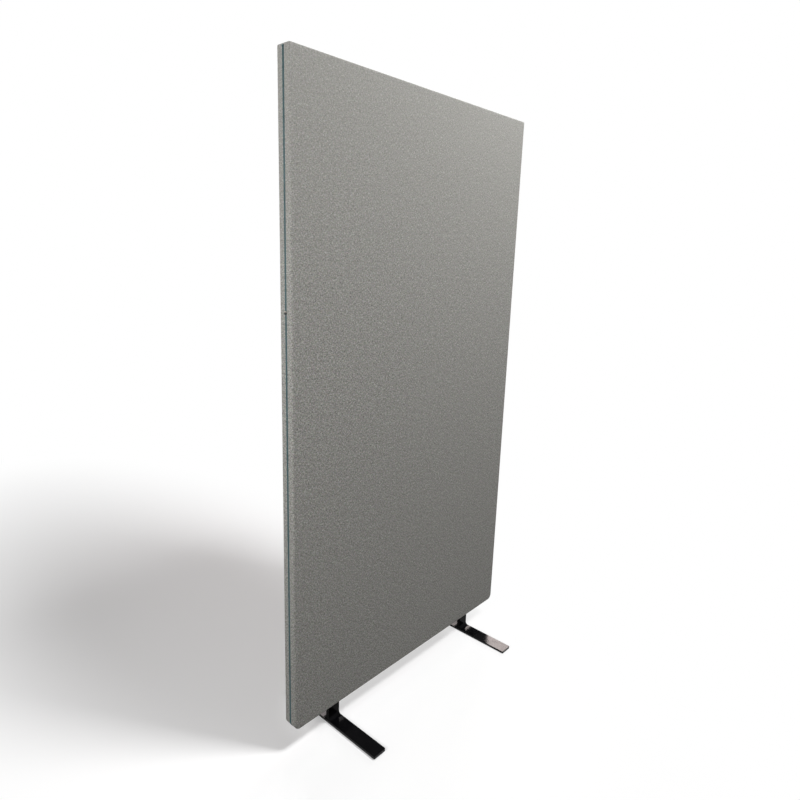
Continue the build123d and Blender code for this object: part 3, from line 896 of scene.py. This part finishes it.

# ---- Floor and backdrop
# A plain pale floor that shows white to the camera, and a white world. The floor keeps the shadow,
# turns plain white away from it, and gives little light from below; close under the screen, painted
# light (a white glow in an oval) makes the shadow paler.

shadow_middle, shadow_reach, shadow_core = (-0.36, 0.793, 0), (1.108, 2.519, 1), 0.236
pale_middle, pale_reach, pale_core, pale_share = (0.1, 0, 0), (0.634, 0.371, 1), 0.6, 0.5
floor_lighting, floor_showing = (0.12, 0.12, 0.12, 1), (0.96, 0.96, 0.96, 1)
floor_half, floor_drop = 12, 0.0002
plain_white = (1, 1, 1, 1)


def shown_rays(tree):
    """1 for a ray that shows a thing to the camera, straight or by gloss or glass, and else 0."""
    ray = make_node(tree, "ShaderNodeLightPath").outputs
    straight_or_gloss = maths(tree, "MAXIMUM", ray["Is Camera Ray"], ray["Is Glossy Ray"])
    return maths(tree, "MAXIMUM", straight_or_gloss, ray["Is Transmission Ray"])


floor_white, floor_tree, floor_shader = finish_of(
    "floor_white", Roughness=1.0, Specular_IOR_Level=0
)
floor_shown = shown_rays(floor_tree)
floor_colour = colour_mix(floor_tree, floor_shown, floor_lighting, floor_showing)
floor_tree.links.new(floor_colour, floor_shader.inputs["Base Color"])
floor_place = object_place(floor_tree)


def oval_fade(middle, reach, core, inside, outside):
    """A value on the floor that goes from inside to outside between two ovals round a point; the
    inner oval, the core, is a share of the outer one's reach."""

    def vector_maths(operation, *values):
        inputs = dict(enumerate(values))
        return make_node(floor_tree, "ShaderNodeVectorMath", inputs, operation=operation)

    off = vector_maths("SUBTRACT", floor_place, middle)
    share = vector_maths("DIVIDE", off.outputs[0], reach)
    out = vector_maths("LENGTH", share.outputs[0]).outputs["Value"]
    return ranged(floor_tree, out, (core, 1), (inside, outside), interpolation_type="SMOOTHSTEP")


away = oval_fade(shadow_middle, shadow_reach, shadow_core, inside=0, outside=1)
# Painted light: a white glow mixed in over an oval close under the screen makes the shadow paler.
painted_light_under = oval_fade(pale_middle, pale_reach, pale_core, inside=pale_share, outside=0)
plain = maths(floor_tree, "MAXIMUM", away, painted_light_under)
plain_shown = maths(floor_tree, "MULTIPLY", plain, floor_shown)
glow = make_node(floor_tree, "ShaderNodeEmission", {"Color": plain_white, "Strength": 1.0})
either = make_node(
    floor_tree,
    "ShaderNodeMixShader",
    {0: plain_shown, 1: floor_shader.outputs[0], 2: glow.outputs[0]},
)
floor_tree.links.new(either.outputs[0], floor_tree.nodes["Material Output"].inputs["Surface"])
floor_mesh = bpy.data.meshes.new("floor")
round_floor = ((-1, -1), (1, -1), (1, 1), (-1, 1))
corners = [(x * floor_half, y * floor_half, 0) for x, y in round_floor]
floor_mesh.from_pydata(corners, [], [(0, 1, 2, 3)])
floor = keep_piece("floor", floor_mesh, floor_white, smooth=False)
floor.location.z = -floor_drop

world = bpy.data.worlds.new("white_room")
bpy.context.scene.world = world
world.use_nodes = True
sky = world.node_tree
sky_lighting, sky_showing = 0.01, 1.0
sky_strength = ranged(sky, shown_rays(sky), (0, 1), (sky_lighting, sky_showing))
sky_light = sky.nodes["Background"]
sky_light.inputs["Color"].default_value = plain_white
sky.links.new(sky_strength, sky_light.inputs["Strength"])

# ---- Lamps
# A soft key lamp high in front on the right, a broad fill on each side, and five behind the screen:
# one for the shaded floor, one that looks up for the back, and three small ones that show in the
# gloss of the feet.


def lamp(name, place, aim, size, watts, colour=(1, 1, 1)):
    """A square lamp that faces a point."""
    light = bpy.data.lights.new(name, "AREA")
    light.size = size
    light.energy = watts
    light.color = colour
    holder = bpy.data.objects.new(name, light)
    bpy.context.scene.collection.objects.link(holder)
    turn = (Vector(aim) - Vector(place)).to_track_quat("-Z", "Y")
    holder.matrix_world = Matrix.Translation(place) @ turn.to_matrix().to_4x4()


lamp("key_lamp", (0.8, -1.49, 3.57), aim=(0.2, 0, 1.6), size=0.8, watts=105)
lamp("left_fill", (-2.44, -0.42, 1.59), aim=(0, 0, 1.6), size=0.95, watts=49)
lamp("right_fill", (2.9, 0.35, 1.5), aim=(0.5, 0, 1.4), size=0.7, watts=20)
lamp("rear_lamp", (0.9, 3.2, 1.6), aim=(-1.2, 1.6, 0.8), size=0.8, watts=23)
lamp("back_lamp", (0.2, 3.0, 2.2), aim=(0, 0.6, 6.0), size=0.9, watts=110)
far_tip, far_foot, near_foot = (0.34, -0.15, 0.0), (0.34, 0.0, 0.0), (-0.34, 0.1, 0.0)
warm, rosy = (1.0, 0.88, 0.85), (1.0, 0.9, 0.9)
lamp("far_tip_gloss_lamp", (2.402, 1.057, 1.63), far_tip, size=0.36, watts=7.75, colour=warm)
lamp("far_foot_gloss_lamp", (2.204, 1.272, 1.494), far_foot, size=0.26, watts=1.7, colour=warm)
lamp("near_foot_gloss_lamp", (0.78, 1.476, 1.55), near_foot, size=0.3, watts=3.4, colour=rosy)

# ---- Camera
# Its place, turn, focal length and picture middle are solved from the corners of the panel and the
# feet in the photograph, in pixels of an 800 pixel picture.

camera_place = Vector((-1.4150, -1.1987, 1.4067))
camera_turn, camera_tilt, camera_roll = (math.radians(a) for a in (-47.433, 12.866, 1.623))
camera_focal, camera_middle, picture = 601.35, (390.82, 395.39), 800
sensor = 36
back_way = Vector((
    math.sin(camera_turn) * math.cos(camera_tilt),
    -math.cos(camera_turn) * math.cos(camera_tilt),
    math.sin(camera_tilt),
))
level_right = Vector((0, 0, 1)).cross(back_way).normalized()
level_up = back_way.cross(level_right)
right_way = math.cos(camera_roll) * level_right + math.sin(camera_roll) * level_up
up_way = -math.sin(camera_roll) * level_right + math.cos(camera_roll) * level_up
lens = bpy.data.cameras.new("camera")
lens.sensor_width = sensor
lens.lens = sensor * camera_focal / picture
lens.shift_x = (picture / 2 - camera_middle[0]) / picture
lens.shift_y = (camera_middle[1] - picture / 2) / picture
camera = bpy.data.objects.new("camera", lens)
bpy.context.scene.collection.objects.link(camera)
camera_axes = Matrix((right_way, up_way, back_way)).transposed().to_4x4()
camera.matrix_world = Matrix.Translation(camera_place) @ camera_axes
bpy.context.scene.camera = camera
bpy.context.scene.view_settings.view_transform = "Standard"
